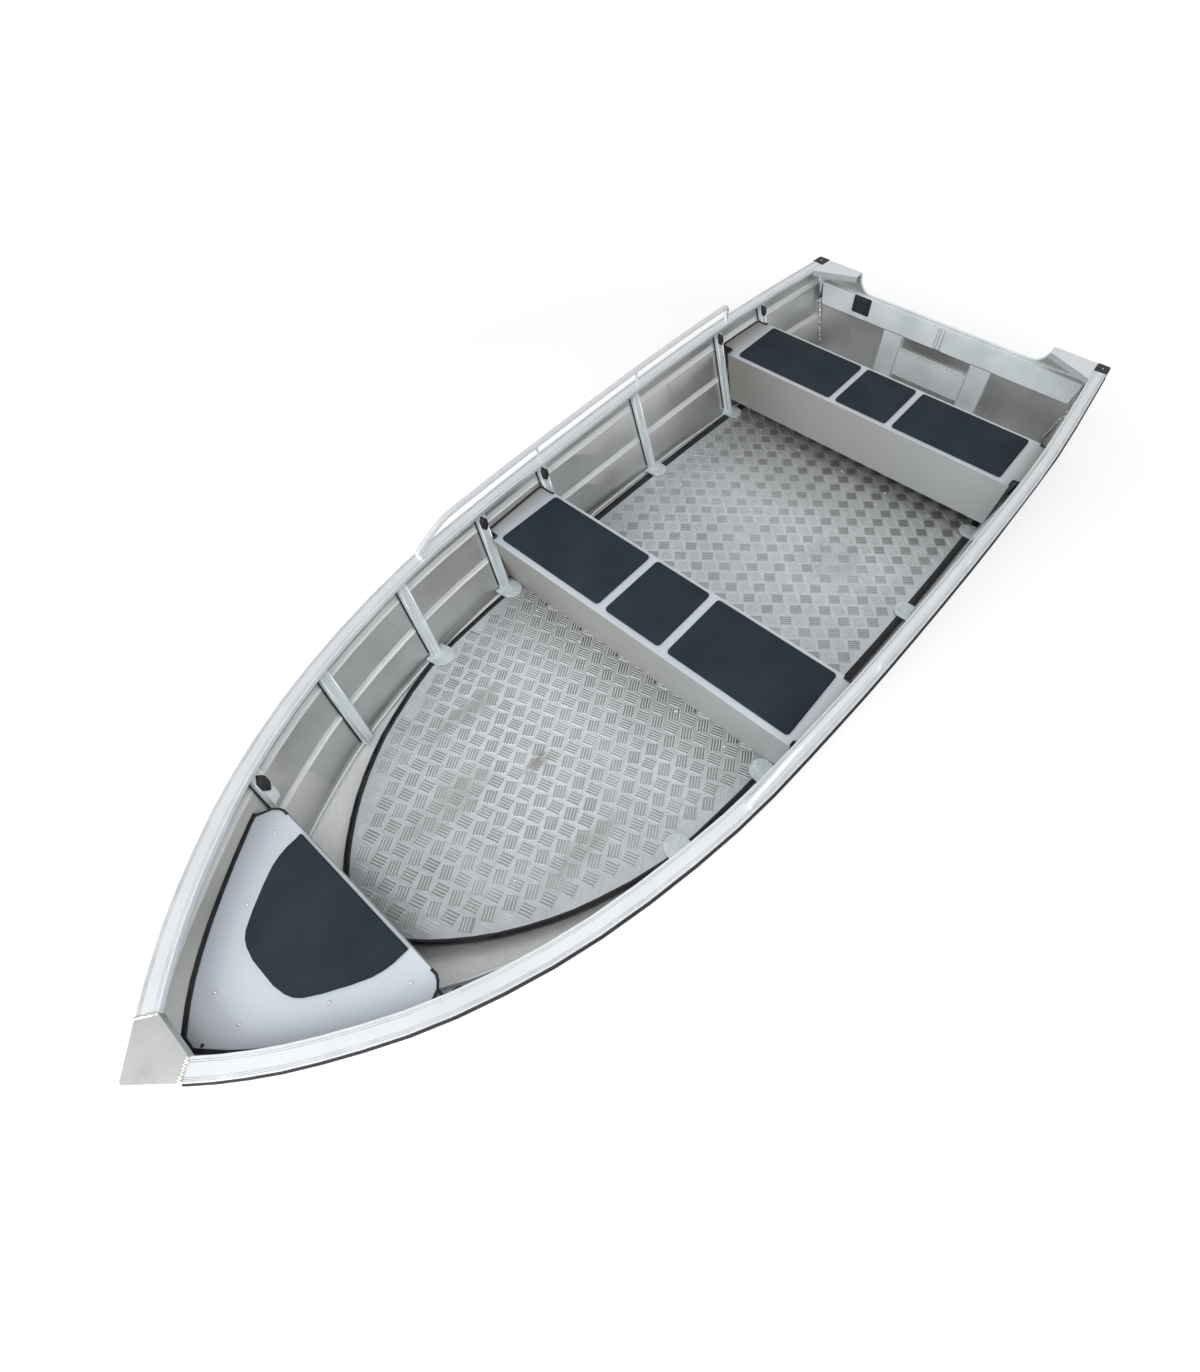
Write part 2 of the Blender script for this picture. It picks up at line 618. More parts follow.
def lower_hull(points, across, up):
    """Lower convex hull of sorted points, in the plane of two of their axes."""
    hull = []
    for p in points:
        while len(hull) > 1:
            a, b = hull[-2], hull[-1]
            if (b[across] - a[across]) * (p[up] - a[up]) > (b[up] - a[up]) * (p[across] - a[across]):
                break
            hull.pop()
        hull.append(p)
    return hull


def gunwale_line(side_name):
    """Outer top edge of a gunwale, and the unit direction inboard at each point."""
    points = corners_of("gunwale_" + side_name)
    pairs = []
    for p in points:
        if any(abs(r.x - p.x) < 1e-4 and abs(r.y - p.y) < 1e-4 and r.z > p.z + 0.001 for r in points):
            continue
        for q in points:
            flat = Vector((q.x - p.x, q.y - p.y, 0.0))
            if abs(flat.length - GUNWALE_WIDTH) < 0.0004 and abs(q.z - p.z) < 0.002 and abs(q.y) < abs(p.y):
                pairs.append((p, flat.normalized()))
    pairs.sort(key=lambda pair: pair[0].x)
    return pairs


def line_at(pairs, x):
    """Point and direction of a gunwale's line at one x."""
    for (a, n), (b, m) in zip(pairs, pairs[1:]):
        if a.x <= x <= b.x:
            share = (x - a.x) / (b.x - a.x)
            return a.lerp(b, share), n.lerp(m, share).normalized()
    return pairs[0] if x < pairs[0][0].x else pairs[-1]


GUNWALES = {side_name: gunwale_line(side_name) for side_name, _ in SIDES}


# ---- the floor

def floor_top(x):
    return FLOOR_HEIGHT + FLOOR_SLOPE * x


def floor_edge():
    """Corners of the floor's upper face in turn round it, and the x of its middle."""
    edge = [p for p in corners_of("tread_floor") if abs(p.z - floor_top(p.x)) < FLOOR_TOLERANCE]
    middle = sum(p.x for p in edge) / len(edge)
    return sorted(edge, key=lambda p: math.atan2(p.y, p.x - middle)), middle


def trim_width(x):
    """Width of the black strip: broad along the aft plate, narrower round the forward one."""
    return float(np.interp(x, FLOOR_TRIM_CHANGE, FLOOR_TRIM_WIDTH))


def inside(point, outline):
    """Whether a point lies inside an outline in plan."""
    hit = False
    for (ax, ay), (bx, by) in zip(outline, outline[1:] + outline[:1]):
        if (ay > point[1]) != (by > point[1]) and point[0] < (bx - ax) * (point[1] - ay) / (by - ay) + ax:
            hit = not hit
    return hit


def bar_shape(centre, direction, across):
    """Low raised bar with tapered ends, lying on the floor."""
    side = [(direction * along * BAR_LENGTH * 0.5, wide * BAR_WIDTH * 0.5) for along, wide in BAR_TAPER]
    ring = side + [(along, -wide) for along, wide in reversed(side)]
    points = []
    for (long_share, wide_share), height in (((1.0, 1.0), 0.0), (BAR_TOP, BAR_HEIGHT)):
        for along, wide in ring:
            flat = centre + along * long_share + across * wide * wide_share
            points.append(Vector((flat.x, flat.y, floor_top(flat.x) + height)))
    count = len(ring)
    faces = [(j, (j + 1) % count, count + (j + 1) % count, count + j) for j in range(count)]
    faces.append(tuple(range(count, 2 * count)))
    return points, faces


def bar_groups(low_x, high_x, start, step_x, step_y):
    """Kind, 0 or 1, centre and direction of each group of bars near one plate."""
    step_x, step_y = Vector((*step_x, 0.0)), Vector((*step_y, 0.0))
    for i in range(-GROUP_REACH, GROUP_REACH + 1):
        for j in range(-GROUP_REACH, GROUP_REACH + 1):
            for kind in (0, 1):
                centre = Vector((*start, 0.0)) + step_x * (i + 0.5 * kind) + step_y * (j + 0.5 * kind)
                if low_x - 0.05 < centre.x < high_x + 0.05:
                    yield kind, centre, (step_x + step_y if kind == 0 else step_x - step_y).normalized()


def hollow_patch(centre, direction, across):
    """Corners of the duller patch of plate between a group's bars."""
    reach = direction * BAR_LENGTH * HOLLOW_SHARE
    broad = across * BAR_SPACING * 0.5 * (BARS_PER_GROUP - 0.5)
    return [centre - reach - broad, centre + reach - broad, centre + reach + broad, centre - reach + broad]


def tread_bars():
    """Raised bars of both plates, in groups that lie across each other, with the hollows between them."""
    edge, middle = floor_edge()
    inset = []
    for x, y, _ in edge:
        margin = trim_width(x) + 0.004
        inset.append((x - math.copysign(margin, x - middle) * 0.6, y - math.copysign(margin, y)))
    for name, plate in TREAD_PLATES.items():
        low_x, high_x = plate[:2]
        parts = {"bar": [], "bar_dull": [], "hollow": [], "hollow_light": []}
        for kind, centre, direction in bar_groups(*plate):
            across = Vector((-direction.y, direction.x, 0.0))
            patch = hollow_patch(centre, direction, across)
            shown = not HIDDEN_FLOOR[0] < centre.x < HIDDEN_FLOOR[1]
            if shown and all(inside(q, inset) and low_x < q.x < high_x for q in patch):
                look = "hollow" if kind == 1 or name == "forward" else "hollow_light"
                patch = [Vector((q.x, q.y, floor_top(q.x) + HOLLOW_LIFT)) for q in patch]
                parts[look].append((patch, [(0, 1, 2, 3)]))
            look = "bar_dull" if kind == 1 and name == "aft" else "bar"
            for k in range(BARS_PER_GROUP):
                place = centre + across * (k - 0.5 * (BARS_PER_GROUP - 1)) * BAR_SPACING
                if not low_x < place.x < high_x or HIDDEN_FLOOR[0] < place.x < HIDDEN_FLOOR[1]:
                    continue
                ends = [place + direction * BAR_LENGTH * 0.5 * s for s in (-1, 1)]
                if all(inside(end, inset) for end in ends):
                    parts[look].append(bar_shape(place, direction, across))
        for look, shapes in parts.items():
            if shapes:
                merged("tread_" + look + "_" + name, shapes, look, smooth=False)


def dome(centre, radius, height, corners=10):
    """Rivet head."""
    side = UP.orthogonal().normalized()
    across = UP.cross(side)
    points, faces = [], []
    rings = ((1.0, 0.0), (0.82, 0.62), (0.42, 0.93))
    for scale, lift in rings:
        for k in range(corners):
            turn = 2 * math.pi * k / corners
            offset = (side * math.cos(turn) + across * math.sin(turn)) * radius * scale
            points.append(centre + offset + UP * height * lift)
    for r in range(len(rings) - 1):
        for k in range(corners):
            m = (k + 1) % corners
            faces.append((r * corners + k, r * corners + m, (r + 1) * corners + m, (r + 1) * corners + k))
    faces.append(tuple(range((len(rings) - 1) * corners, len(rings) * corners)))
    return points, faces


def rivets():
    """Rivet heads on the floor, and the ringed heads and the small hole on the bow platform."""
    heads = [dome(Vector((x, y, floor_top(x))), *FLOOR_HEAD) for x, ys in FLOOR_RIVETS for y in ys]
    merged("floor_rivets", heads, "weld")
    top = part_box("bow_platform")[1].z
    places = [Vector((x, y * side, top)) for x, y in PLATFORM_RIVETS for side in (1, -1)]
    merged("platform_rivets", [dome(place, *PLATFORM_HEAD) for place in places], "extrusion")
    merged("platform_rivet_rings", [dome(place, *PLATFORM_RING) for place in places], "groove")
    merged("platform_hole", [dome(Vector((*PLATFORM_HOLE, top)), *PLATFORM_HOLE_RIM)], "seam")


# ---- pads

def edge_levels(low, high, edge):
    """Inset and height of each ring of a slab whose upper edge is soft."""
    return (0.0, low), (0.0, high - edge), (edge * 0.3, high - edge * 0.3), (edge, high)


def rounded_slab(low, high, radius, edge):
    """Slab with rounded corners in plan and a soft upper edge."""
    sections = []
    for inset, z in edge_levels(low.z, high.z, edge):
        ring = []
        corners = ((high.x, high.y, 0), (low.x, high.y, 90), (low.x, low.y, 180), (high.x, low.y, 270))
        for cx, cy, start in corners:
            sx = 1 if cx == high.x else -1
            sy = 1 if cy == high.y else -1
            for k in range(6):
                turn = math.radians(start + 18 * k)
                reach = radius - inset
                ring.append(Vector((cx - sx * radius + reach * math.cos(turn),
                                    cy - sy * radius + reach * math.sin(turn), z)))
        sections.append(ring)
    return loft(sections)


def soft_slab(outline, low, high, edge):
    """The same for any outline in plan that runs anticlockwise."""
    count = len(outline)
    sections = []
    for inset, z in edge_levels(low, high, edge):
        ring = []
        for i, point in enumerate(outline):
            run = (outline[(i + 1) % count] - outline[i - 1]).normalized()
            ring.append(Vector((point.x - run.y * inset, point.y + run.x * inset, z)))
        sections.append(ring)
    return loft(sections)


def pads():
    """Foam pads of the seats and of the bow platform."""
    for seat in ("mid", "aft"):
        for place in ("port", "centre", "starboard"):
            node = "%s_seat_pad_%s" % (seat, place)
            low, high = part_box(node)
            slab = rounded_slab(low, high, PAD_CORNER, PAD_EDGE)
            made = merged("foam_%s_%s" % (seat, place), [slab], "foam")
            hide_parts(node)
    low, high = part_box("platform_pad")
    half = chamfered([Vector((x, y, 0)) for x, y in PLATFORM_PAD])
    outline = [Vector((p.x, -p.y, 0)) for p in half] + half[::-1]
    made = merged("foam_platform", [soft_slab(outline, low.z, high.z, PAD_EDGE)], "foam")
    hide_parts("platform_pad")


def chamfered(line):
    """A line with each inner corner cut once, which rounds it."""
    made = [line[0]]
    for a, b in zip(line, line[1:]):
        made += [a.lerp(b, 0.25), a.lerp(b, 0.75)]
    return made + [line[-1]]


# ---- ribs

class Rib:
    """A rib's column from its CAD node: corners at any height, and the directions along and inboard."""

    def __init__(self, side_name, number):
        self.node = "rib_%d_%s" % (number, side_name)
        mesh = nodes[self.node].data
        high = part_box(self.node)[1].z
        edges = []
        for edge in mesh.edges:
            low, top = sorted((mesh.vertices[i].co for i in edge.vertices), key=lambda p: p.z)
            if top.z > high - 0.001 and top.z - low.z > 0.15:
                edges.append((top.copy(), (low - top) / (top.z - low.z)))
        fall = max(edges, key=lambda e: sum((e[1] - d).length < 0.012 for _, d in edges))[1]
        self.head = {}
        for top, run in edges:
            key = (round(top.x, 4), round(top.y, 4))
            if key not in self.head or (run - fall).length < (self.head[key][1] - fall).length:
                self.head[key] = (top, run)
        _, self.inboard = line_at(GUNWALES[side_name], sum(x for x, _ in self.head) / len(self.head))
        self.along = Vector((abs(self.inboard.y), -self.inboard.x * math.copysign(1.0, self.inboard.y), 0.0))
        self.top = high

    def corners(self, z):
        """Back aft, back fore, face aft and face fore corners at a height."""
        points = [top + run * (top.z - z) for top, run in self.head.values()]
        back = sorted(points, key=lambda p: p.dot(self.inboard))[:2]
        face = sorted(points, key=lambda p: -p.dot(self.inboard))[:4]
        back.sort(key=lambda p: p.dot(self.along))
        face.sort(key=lambda p: p.dot(self.along))
        return back[0], back[-1], face[0], face[-1]


RIBS = {(side_name, number): Rib(side_name, number) for side_name, _ in SIDES for number in range(1, 9)}


def rib_caps():
    """Rubber bumpers on the inboard face of the ribs, near the head."""
    for side_name, _ in SIDES:
        for number in CAPPED_RIBS:
            rib = RIBS[side_name, number]
            rings = []
            for depth, shrink in ((-0.004, 0.92), (0.0015, 1.0), (CAP_PROUD - 0.004, 1.0), (CAP_PROUD, 0.76)):
                ring = []
                for across, up in CAP_OUTLINE:
                    _, _, aft, fore = rib.corners(rib.top - CAP_DROP + up * CAP_HEIGHT * shrink)
                    aside = rib.along * across * CAP_WIDTH * shrink
                    ring.append(aft.lerp(fore, 0.5) + aside + rib.inboard * depth)
                rings.append(ring)
            merged("rib_cap_%d_%s" % (number, side_name), [loft(rings)], "rubber", smooth=False)


def rib_edges():
    """Rolled edges down both sides of each rib's inboard face."""
    for side_name, _ in SIDES:
        parts = []
        for number in range(1, 9):
            rib = RIBS[(side_name, number)]
            foot = SHORT_RIB_FOOT if number == 8 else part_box(rib.node)[0].z + 0.012
            for corner in (2, 3):
                line = [rib.corners(z)[corner] for z in (rib.top - 0.003, 0.5 * (rib.top + foot), foot)]
                parts.append(loft(tube_sections(line, [RIB_EDGE] * 3)))
        merged("rib_edges_" + side_name, parts, "extrusion")


def short_ribs():
    """Last rib on each side, which ends at the bow platform."""
    for side_name, _ in SIDES:
        rib = RIBS[(side_name, 8)]
        sections = []
        for z in (SHORT_RIB_FOOT, 0.34, 0.38, rib.top):
            back_aft, back_fore, face_aft, face_fore = rib.corners(z)
            sections.append([back_aft, back_fore, face_fore, face_aft])
        short = merged("short_rib_" + side_name, [loft(sections)], "milled", smooth=False)
        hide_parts(rib.node)


def rib_seals():
    """Dark sealant bead down the fore side of each rib."""
    beads = []
    for (side_name, number), rib in RIBS.items():
        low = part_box(rib.node)[0].z + (0.008 if number in FOOTED_RIBS else 0.0)
        line = []
        for share in (0.02, 0.25, 0.5, 0.75, 0.96):
            z = low + (rib.top - low) * share
            line.append(rib.corners(z)[1] + rib.along * SEAL_RADIUS * 0.6 + rib.inboard * SEAL_RADIUS * 0.7)
        beads.append(loft(tube_sections(line, [SEAL_RADIUS] * len(line))))
    merged("rib_seals", beads, "rubber")


def mark_feet():
    """Give the rib feet their zinc finish."""
    for side_name, _ in SIDES:
        for number in FOOTED_RIBS:
            item = nodes["rib_%d_%s" % (number, side_name)]
            item.data.materials.append(LOOKS["zinc"][0])
            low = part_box(item.name)[0].z
            for face in item.data.polygons:
                if max(item.data.vertices[i].co.z for i in face.vertices) < low + FOOT_HEIGHT:
                    face.material_index = 1


def foot_rivets():
    """Three rivet heads round the inboard half of each rib foot."""
    heads = []
    for side_name, _ in SIDES:
        for number in FOOTED_RIBS:
            rib = RIBS[side_name, number]
            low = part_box(rib.node)[0].z
            plate = [p for p in corners_of(rib.node) if p.z < low + FOOT_HEIGHT]
            reach = max(p.dot(rib.inboard) for p in plate)
            spans = [p.dot(rib.along) for p in plate]
            middle = 0.5 * (min(spans) + max(spans))
            half = 0.5 * (max(spans) - min(spans))
            for turn in FOOT_RIVET_TURNS:
                angle = math.radians(turn)
                flat = (rib.along * (middle + 0.66 * half * math.cos(angle))
                        + rib.inboard * (reach - half + 0.66 * half * math.sin(angle)))
                near = min(plate, key=lambda p: abs(p.x - flat.x) - p.z)
                top = floor_top(flat.x) + near.z - floor_top(near.x)
                heads.append(dome(Vector((flat.x, flat.y, top)), *FOOT_HEAD))
    merged("foot_rivets", heads, "weld")


# ---- seat end trim

def seat_trims():
    """Black strip along each seat's end and round its rib notches."""
    for seat in ("mid_seat", "aft_seat"):
        low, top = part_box(seat)
        aft, bow, high = low.x, top.x, top.z
        for side_name, side in SIDES:
            rim = [p for p in corners_of(seat) if p.z > high - 0.0008]
            inner = min(round(p.y * side, 4) for p in rim if p.y * side > 0)
            ear = sorted((p for p in rim if p.y * side > inner + 0.003), key=lambda p: p.x)
            line = [Vector((ear[0].x, side * inner, high))] + ear
            line += [Vector((x, side * inner, high)) for x in (ear[-1].x, bow - 0.004)]
            if ear[0].x - aft > 0.008:
                line.insert(0, Vector((aft + 0.003, side * inner, high)))
            rounded = [line[0]]
            for a, b in zip(line, line[1:]):
                rounded += [a.lerp(b, 0.12), a.lerp(b, 0.88)]
            rounded.append(line[-1])
            rounded = [p + UP * TRIM_RADIUS * 0.55 for p in rounded]
            strip = loft(tube_sections(rounded, [TRIM_RADIUS] * len(rounded)))
            merged("seat_trim_%s_%s" % (seat.split("_")[0], side_name), [strip], "rubber")


# ---- gunwales, welds, transom, beads and plate

def gunwale_grooves():
    """Fine ridges along the gunwales' tops."""
    for side_name, _ in SIDES:
        parts = []
        for offset in GUNWALE_GROOVES:
            sections = []
            for point, inboard in GUNWALES[side_name]:
                base = point + inboard * offset
                edge, shoulder, rise = inboard * GROOVE_HALF, inboard * GROOVE_HALF * 0.4, UP * GROOVE_RISE
                sections.append([base - edge, base - shoulder + rise, base + shoulder + rise, base + edge])
            parts.append(loft(sections))
        merged("gunwale_grooves_" + side_name, parts, "groove", smooth=False)


def weld_bead(line, radius, seed):
    """Overlapping ripples along a line, a little uneven."""
    chance = random.Random(seed)
    points = resampled(line, radius * 0.45)
    radii, made = [], []
    for i, point in enumerate(points):
        radii.append(radius * (0.80 + 0.28 * abs(math.sin(i * 1.15))) * chance.uniform(0.9, 1.1))
        made.append(point + Vector([chance.uniform(-0.08, 0.08) * radius for _ in range(3)]))
    return loft(tube_sections(made, radii, 7))


def transom_x(z):
    """Inner face of the transom plate at a height."""
    return TRANSOM_TOP_X + (TRANSOM_TOP_Z - z) * TRANSOM_RAKE


def side_inner(z):
    """Half breadth of the side panels' inner face near the transom at a height."""
    points = (v.co for v in nodes["side_panel_port"].data.vertices)
    near = sorted((p.z, abs(p.y)) for p in points if p.x < NEAR_TRANSOM_X)
    return float(np.interp(z, [a for a, _ in near], [b for _, b in near])) - 0.002


def zigzag(start, end, along, reach, step):
    """Line that steps to and fro across the way from start to end."""
    count = int((end - start).length / step)
    return [start.lerp(end, i / count) + along * reach * (1 if i % 2 else -1) for i in range(count + 1)]


def transom_rim():
    """Rounded rim along the transom's lowered edge."""
    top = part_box("transom_plate")[1].z
    steps = range(CUTOUT_STEPS + 1)
    edge = []
    for side, turns in ((-1, steps), (1, reversed(steps))):
        for i in turns:
            turn = 0.5 * math.pi * i / CUTOUT_STEPS
            y = CUTOUT_TOP_HALF - (CUTOUT_TOP_HALF - CUTOUT_BOTTOM_HALF) * (1 - math.cos(turn))
            z = top - CUTOUT_DEPTH * math.sin(turn)
            edge.append(Vector((transom_x(z) - 0.002, y * side, z)) + UP * 0.0004)
    merged("transom_rim", [loft(tube_sections(edge, [RIM_RADIUS] * len(edge)))], "milled")


def transom_welds():
    """Weld beads over the cross member, beside the posts and up the transom's corners."""
    low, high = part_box("transom_cross_member")
    line = [Vector((transom_x(high.z) + 0.020, y, high.z)) for y in (low.y, high.y)]
    beads = [weld_bead(line, 0.0038, 2)]
    for side_name, side in SIDES:
        low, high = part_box("transom_post_" + side_name)
        for y in (low.y, high.y):
            line = [Vector((transom_x(z) + 0.003, y, z)) for z in (low.z + 0.02, high.z)]
            beads.append(weld_bead(line, 0.0028, 3))
        line = [Vector((transom_x(z) + 0.009, side * (side_inner(z) - 0.007), z)) for z in (0.03, 0.12, 0.23)]
        beads.append(weld_bead(line, 0.0075, 9 + side))
    merged("transom_welds", beads, "weld")


def bow_welds():
    """Uneven beads between the gunwales' ends and the breasthook."""
    beads = []
    for side_name, _ in SIDES:
        point, inboard = GUNWALES[side_name][-1]
        ahead = Vector((inboard.y, -inboard.x, 0.0))
        start, end = point + UP * 0.0008, point + inboard * GUNWALE_WIDTH + UP * 0.0008
        reach, step, radius, seed = BOW_WELDS[side_name]
        beads.append(weld_bead(zigzag(start, end, ahead, reach, step), radius, seed))
    merged("bow_welds", beads, "weld")


def joiner_grooves():
    """Two ridges down the joiner plate on the transom."""
    low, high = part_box("transom_joiner")
    parts = []
    for y in (-0.010, 0.010):
        sections = []
        for z in (low.z + 0.001, high.z - 0.001):
            x = transom_x(z) + 0.0240
            sections.append([Vector((x, y - 0.003, z)), Vector((x + 0.0008, y - 0.002, z)),
                             Vector((x + 0.0008, y + 0.002, z)), Vector((x, y + 0.003, z))])
        parts.append(loft(sections))
    merged("joiner_grooves", parts, "groove", smooth=False)


def chine_beads():
    """Bright inner flange where each side meets the bottom."""
    for side_name, side in SIDES:
        points = [v.co for v in nodes["side_panel_" + side_name].data.vertices]
        points = [p for p in points if CHINE_REACH[0] < p.x < CHINE_REACH[1]]
        points.sort(key=lambda p: (p.x, p.z))
        line = lower_hull(points, 0, 2)
        while line[0].z - line[1].z > 0.3 * (line[1].x - line[0].x):
            line.pop(0)
        line = [Vector((p.x, p.y - side * 0.006, p.z + 0.008)) for p in line]
        line = [p for i, p in enumerate(line) if i == 0 or p.x > line[i - 1].x + 0.01]
        merged("chine_bead_" + side_name, [loft(tube_sections(line, [CHINE_BEAD] * len(line)))], "extrusion")


def rub_beads():
    """Half-round face of the rubber strip under each gunwale."""
    limit = cad_box[1].y - 0.0002
    half_round = ((0.0, 0.009), (RUB_BEAD * 0.8, 0.006), (RUB_BEAD, 0.0),
                  (RUB_BEAD * 0.8, -0.006), (0.0, -0.009))
    for side_name, _ in SIDES:
        outer = sorted(corners_of("rub_strip_" + side_name), key=lambda p: p.x)
        line = []
        for point, inboard in GUNWALES[side_name]:
            near = [p for p in outer if abs(p.x - point.x) < 0.012 and (p - point).dot(inboard) < -0.0032]
            if near:
                level = sum(p.z for p in near) / len(near)
                line.append((Vector((point.x, point.y, level)) - inboard * RUB_FACE, inboard))
        sections = []
        for point, inboard in line:
            ring = []
            for out, up in half_round:
                spot = point - inboard * out + UP * up
                ring.append(Vector((spot.x, max(-limit, min(limit, spot.y)), spot.z)))
            sections.append(ring)
        merged("rub_bead_" + side_name, [loft(sections)], "rubber")


def platform_corners():
    """Black strip carried on from the platform's edging round its aft corners."""
    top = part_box("bow_platform")[1].z
    rim = [p for p in corners_of("bow_platform") if p.z > top - 0.0006]
    aft = min(p.x for p in rim)
    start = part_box("platform_edging")[0].x
    for side_name, side in SIDES:
        line = sorted((p for p in rim if p.y * side > 0.2 and p.x < start + 0.004), key=lambda p: -p.y * side)
        if len(line) < 2:
            continue
        line.append(line[-1] - Vector((0.0, side * 0.020, 0.0)))
        line = [Vector((p.x + 0.0008, p.y, top + 0.0012)) for p in line]
        strip = loft(tube_sections(line, [PLATFORM_CORNER_RADIUS] * len(line)))
        merged("platform_corner_" + side_name, [strip], "rubber")


def seam(start, end, offset, width):
    """Thin strip between two places across and up, a little ahead of the transom plate."""
    side = Vector((0.0, end[1] - start[1], start[0] - end[0])).normalized() * width * 0.5
    lift = Vector((0.0009, 0.0, 0.0))
    sections = []
    for y, z in (start, end):
        base = Vector((transom_x(z) + offset, y, z))
        sections.append([base - side, base - side * 0.6 + lift, base + side * 0.6 + lift, base + side])
    return loft(sections)


def front(node):
    """How far a solid reaches ahead of the transom plate."""
    return max(p.x - transom_x(p.z) for p in corners_of(node))


def transom_seams():
    """Dark joints between the transom's plates, and the gap at each beam's end."""
    parts = []
    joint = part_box("transom_joiner")
    joint_face = front("transom_joiner")
    for side_name, side in SIDES:
        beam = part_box("transom_beam_" + side_name)
        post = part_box("transom_post_" + side_name)
        face = front("transom_post_" + side_name)
        inner, outer = sorted((abs(post[0].y), abs(post[1].y)))
        edge, crack = side * joint[1].y, side * (inner + 0.004)
        gap = side * (max(abs(beam[0].y), abs(beam[1].y)) + 0.008)
        parts.append(seam((edge, joint[0].z), (edge, joint[1].z - 0.004), joint_face, 0.0026))
        parts.append(seam((side * inner, post[1].z), (side * outer, post[1].z), face, 0.0026))
        parts.append(seam((crack, post[0].z), (crack, post[1].z - 0.012), face, 0.0020))
        parts.append(seam((gap, beam[0].z + 0.01), (gap, beam[1].z - 0.015), 0.004, 0.014))
    merged("transom_seams", parts, "seam", smooth=False)


def floor_trim():
    """Flat black strip round the floor, inside its edging."""
    loop = []
    for p in floor_edge()[0]:
        if not loop or (p - loop[-1]).length > 0.006:
            loop.append(p)
    sections = []
    for i, p in enumerate(loop + loop[:1]):
        ahead = loop[(i + 1) % len(loop)] - loop[(i - 1) % len(loop)]
        inward = Vector((-ahead.y, ahead.x, 0.0)).normalized()
        ring = []
        width = trim_width(p.x)
        high = FLOOR_TRIM_HEIGHT
        for reach, lift in ((0.0, 0.0), (0.001, high), (width - 0.003, high), (width, 0.0)):
            spot = p + inward * reach
            ring.append(Vector((spot.x, spot.y, floor_top(spot.x) + lift)))
        sections.append(ring)
    merged("floor_trim", [loft(sections)], "rubber", smooth=False)


def cap_dots():
    """Bright fastener head on each corner cap."""
    heads = []
    for side_name, _ in SIDES:
        low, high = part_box("corner_cap_" + side_name)
        place = Vector((0.5 * (low.x + high.x), 0.5 * (low.y + high.y), high.z))
        heads.append(dome(place, *CORNER_CAP_HEAD))
    merged("cap_dots", heads, "weld")


def blank_plate():
    """Black plate on the starboard beam, left bare."""
    (y0, y1), (z0, z1) = PLATE_Y, PLATE_Z
    outline = []
    for cy, cz, start in ((y1, z1, 0), (y0, z1, 90), (y0, z0, 180), (y1, z0, 270)):
        inward_y = PLATE_CORNER if cy == y1 else -PLATE_CORNER
        inward_z = PLATE_CORNER if cz == z1 else -PLATE_CORNER
        for k in range(4):
            turn = math.radians(start + 30 * k)
            outline.append((cy - inward_y + PLATE_CORNER * math.cos(turn),
                            cz - inward_z + PLATE_CORNER * math.sin(turn)))
    rings = [[Vector((transom_x(z) + ahead, y, z)) for y, z in outline] for ahead in PLATE_AHEAD]
    merged("blank_plate", [loft(rings)], "rubber", smooth=False)


# ---- side swages

def mark_swages():
    """Give the pressed bands of the side panels their brighter finish."""
    for side_name, _ in SIDES:
        item = nodes["side_panel_" + side_name]
        item.data.materials.append(LOOKS["swage"][0])
        points = np.array([v.co for v in item.data.vertices])
        stations = np.arange(-2.1, 2.1, 0.05)
        low, high = [], []
        for x in stations:
            near = points[np.abs(points[:, 0] - x) < 0.12]
            low.append(near[:, 2].min() if len(near) else 0.0)
            high.append(near[:, 2].max() if len(near) else 0.4)
        for face in item.data.polygons:
            base = np.interp(face.center.x, stations, low)
            tip = np.interp(face.center.x, stations, high)
            share = (face.center.z - base) / max(0.05, tip - base)
            if min(abs(share - swage) for swage in SWAGES) < SWAGE_HALF:
                face.material_index = 1


# ---- stage

def waterline():
    """Outline of the hull where the water plane cuts it."""
    cuts = []
    for name in ("bottom_plate_port", "bottom_plate_starboard", "side_panel_port", "side_panel_starboard",
                 "transom_plate", "keel_and_stem", "chine_rail_port", "chine_rail_starboard"):
        mesh = nodes[name].data
        for edge in mesh.edges:
            a, b = (mesh.vertices[i].co for i in edge.vertices)
            if (a.z > 0) != (b.z > 0):
                point = a.lerp(b, -a.z / (b.z - a.z))
                cuts.append((point.x, point.y))
    cuts = sorted(set((round(x, 4), round(y, 4)) for x, y in cuts))
    return lower_hull(cuts, 0, 1)[:-1] + lower_hull(cuts[::-1], 0, 1)[:-1]


def floor_material():
    """Pale floor that the camera sees lifted towards white, more so far away, with its shadows."""
    material = bpy.data.materials.new("floor")
    material.use_nodes = True
    tree = material.node_tree
    tree.nodes.clear()
    place = add_node(tree, "ShaderNodeNewGeometry").outputs["Position"]
    away = add_node(tree, "ShaderNodeVectorMath", {0: place}, operation="LENGTH").outputs["Value"]
    inputs = {"Value": away, "From Min": STAGE_FADE[0], "From Max": STAGE_FADE[1],
              "To Min": STAGE_GLOW[0], "To Max": STAGE_GLOW[1]}
    glow = add_node(tree, "ShaderNodeMapRange", inputs).outputs[0]
    seen = add_node(tree, "ShaderNodeLightPath").outputs["Is Camera Ray"]
    strength = add_node(tree, "ShaderNodeMath", {0: seen, 1: glow}, operation="MULTIPLY").outputs[0]
    light = add_node(tree, "ShaderNodeEmission", {"Strength": strength}).outputs[0]
    colour = (STAGE_GREY, STAGE_GREY, STAGE_GREY, 1.0)
    grey = add_node(tree, "ShaderNodeBsdfDiffuse", {"Color": colour}).outputs[0]
    surface = add_node(tree, "ShaderNodeAddShader", {0: grey, 1: light}).outputs[0]
    add_node(tree, "ShaderNodeOutputMaterial", {"Surface": surface})
    return material


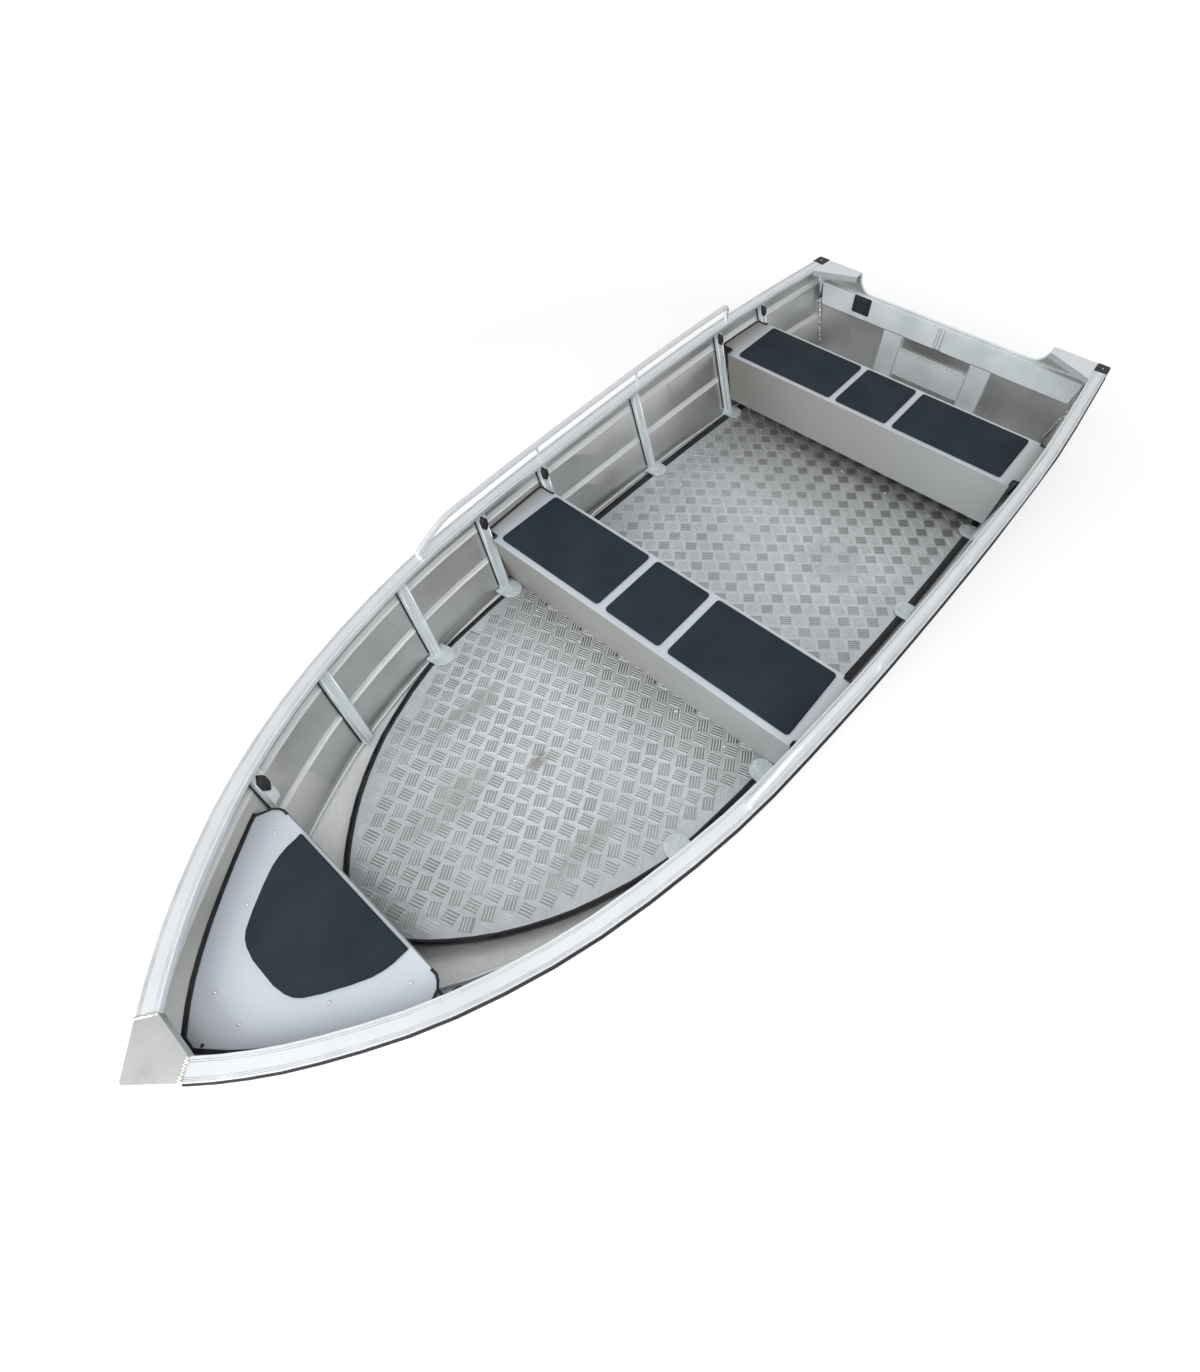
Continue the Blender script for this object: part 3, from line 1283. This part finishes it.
def stage():
    """Floor at the water plane, with a hole that the hull sits in."""
    outline = waterline()
    count = len(outline)
    points = [Vector((x, y, 0.0)) for x, y in outline]
    for reach in STAGE_RINGS:
        for x, y in outline:
            place = Vector((x, y, 0.0))
            points.append(place + place.normalized() * reach)
    faces = []
    for ring in range(len(STAGE_RINGS)):
        for i in range(count):
            k = (i + 1) % count
            faces.append((ring * count + i, ring * count + k, (ring + 1) * count + k, (ring + 1) * count + i))
    mesh = mesh_of("floor", points, faces)
    mesh.materials.append(floor_material())
    floor = bpy.data.objects.new("floor", mesh)
    bpy.context.scene.collection.objects.link(floor)


def world():
    """Even pale sky, a little brighter at the horizon, that the camera sees as plain white."""
    made = bpy.data.worlds.new("studio")
    bpy.context.scene.world = made
    made.use_nodes = True
    tree = made.node_tree
    tree.nodes.clear()
    place = add_node(tree, "ShaderNodeTexCoord").outputs["Generated"]
    height = add_node(tree, "ShaderNodeSeparateXYZ", {0: place}).outputs[2]
    inputs = {"Value": height, "From Min": 0.0, "From Max": SKY_TOP,
              "To Min": SKY_STRENGTH[0], "To Max": SKY_STRENGTH[1]}
    strength = add_node(tree, "ShaderNodeMapRange", inputs).outputs[0]
    sky = add_node(tree, "ShaderNodeBackground", {"Strength": strength}).outputs[0]
    plain = add_node(tree, "ShaderNodeBackground", {"Color": (1.0, 1.0, 1.0, 1.0)}).outputs[0]
    seen = add_node(tree, "ShaderNodeLightPath").outputs["Is Camera Ray"]
    surface = add_node(tree, "ShaderNodeMixShader", {0: seen, 1: sky, 2: plain}).outputs[0]
    add_node(tree, "ShaderNodeOutputWorld", {"Surface": surface})


def lamp(name, place, aim, size, power):
    """Rectangular area lamp turned to a point."""
    data = bpy.data.lights.new(name, "AREA")
    data.shape = "RECTANGLE"
    data.size, data.size_y = size
    data.energy = power
    made = bpy.data.objects.new(name, data)
    made.location = place
    made.rotation_mode = "QUATERNION"
    made.rotation_quaternion = (Vector(aim) - Vector(place)).to_track_quat("-Z", "Y")
    bpy.context.scene.collection.objects.link(made)


def camera():
    """Camera at the photograph's place, angle and framing."""
    back = Vector((math.cos(CAMERA_AZIMUTH) * math.cos(CAMERA_ELEVATION),
                   math.sin(CAMERA_AZIMUTH) * math.cos(CAMERA_ELEVATION), math.sin(CAMERA_ELEVATION)))
    right = UP.cross(back).normalized()
    above = back.cross(right)
    turn = Matrix.Rotation(-CAMERA_ROLL, 3, back)
    right, above = turn @ right, turn @ above
    data = bpy.data.cameras.new("camera")
    data.sensor_width = SENSOR_WIDTH
    data.lens = SENSOR_WIDTH * FOCAL_PIXELS / IMAGE_HEIGHT
    data.shift_x = -CENTRE_OFFSET[0] / IMAGE_HEIGHT
    data.shift_y = CENTRE_OFFSET[1] / IMAGE_HEIGHT
    made = bpy.data.objects.new("camera", data)
    rotation = Matrix((right, above, back)).transposed()
    made.matrix_world = Matrix.Translation(CAMERA_PLACE) @ rotation.to_4x4()
    bpy.context.scene.collection.objects.link(made)
    bpy.context.scene.camera = made


dress_cad()
mark_swages()
tread_bars()
rivets()
pads()
rib_caps()
rib_seals()
mark_feet()
foot_rivets()
seat_trims()
short_ribs()
rib_edges()
gunwale_grooves()
transom_rim()
transom_welds()
bow_welds()
joiner_grooves()
transom_seams()
floor_trim()
chine_beads()
rub_beads()
platform_corners()
cap_dots()
blank_plate()
stage()
world()
for settings in LAMPS:
    lamp(*settings)
camera()
bpy.context.scene.view_settings.view_transform = "Standard"
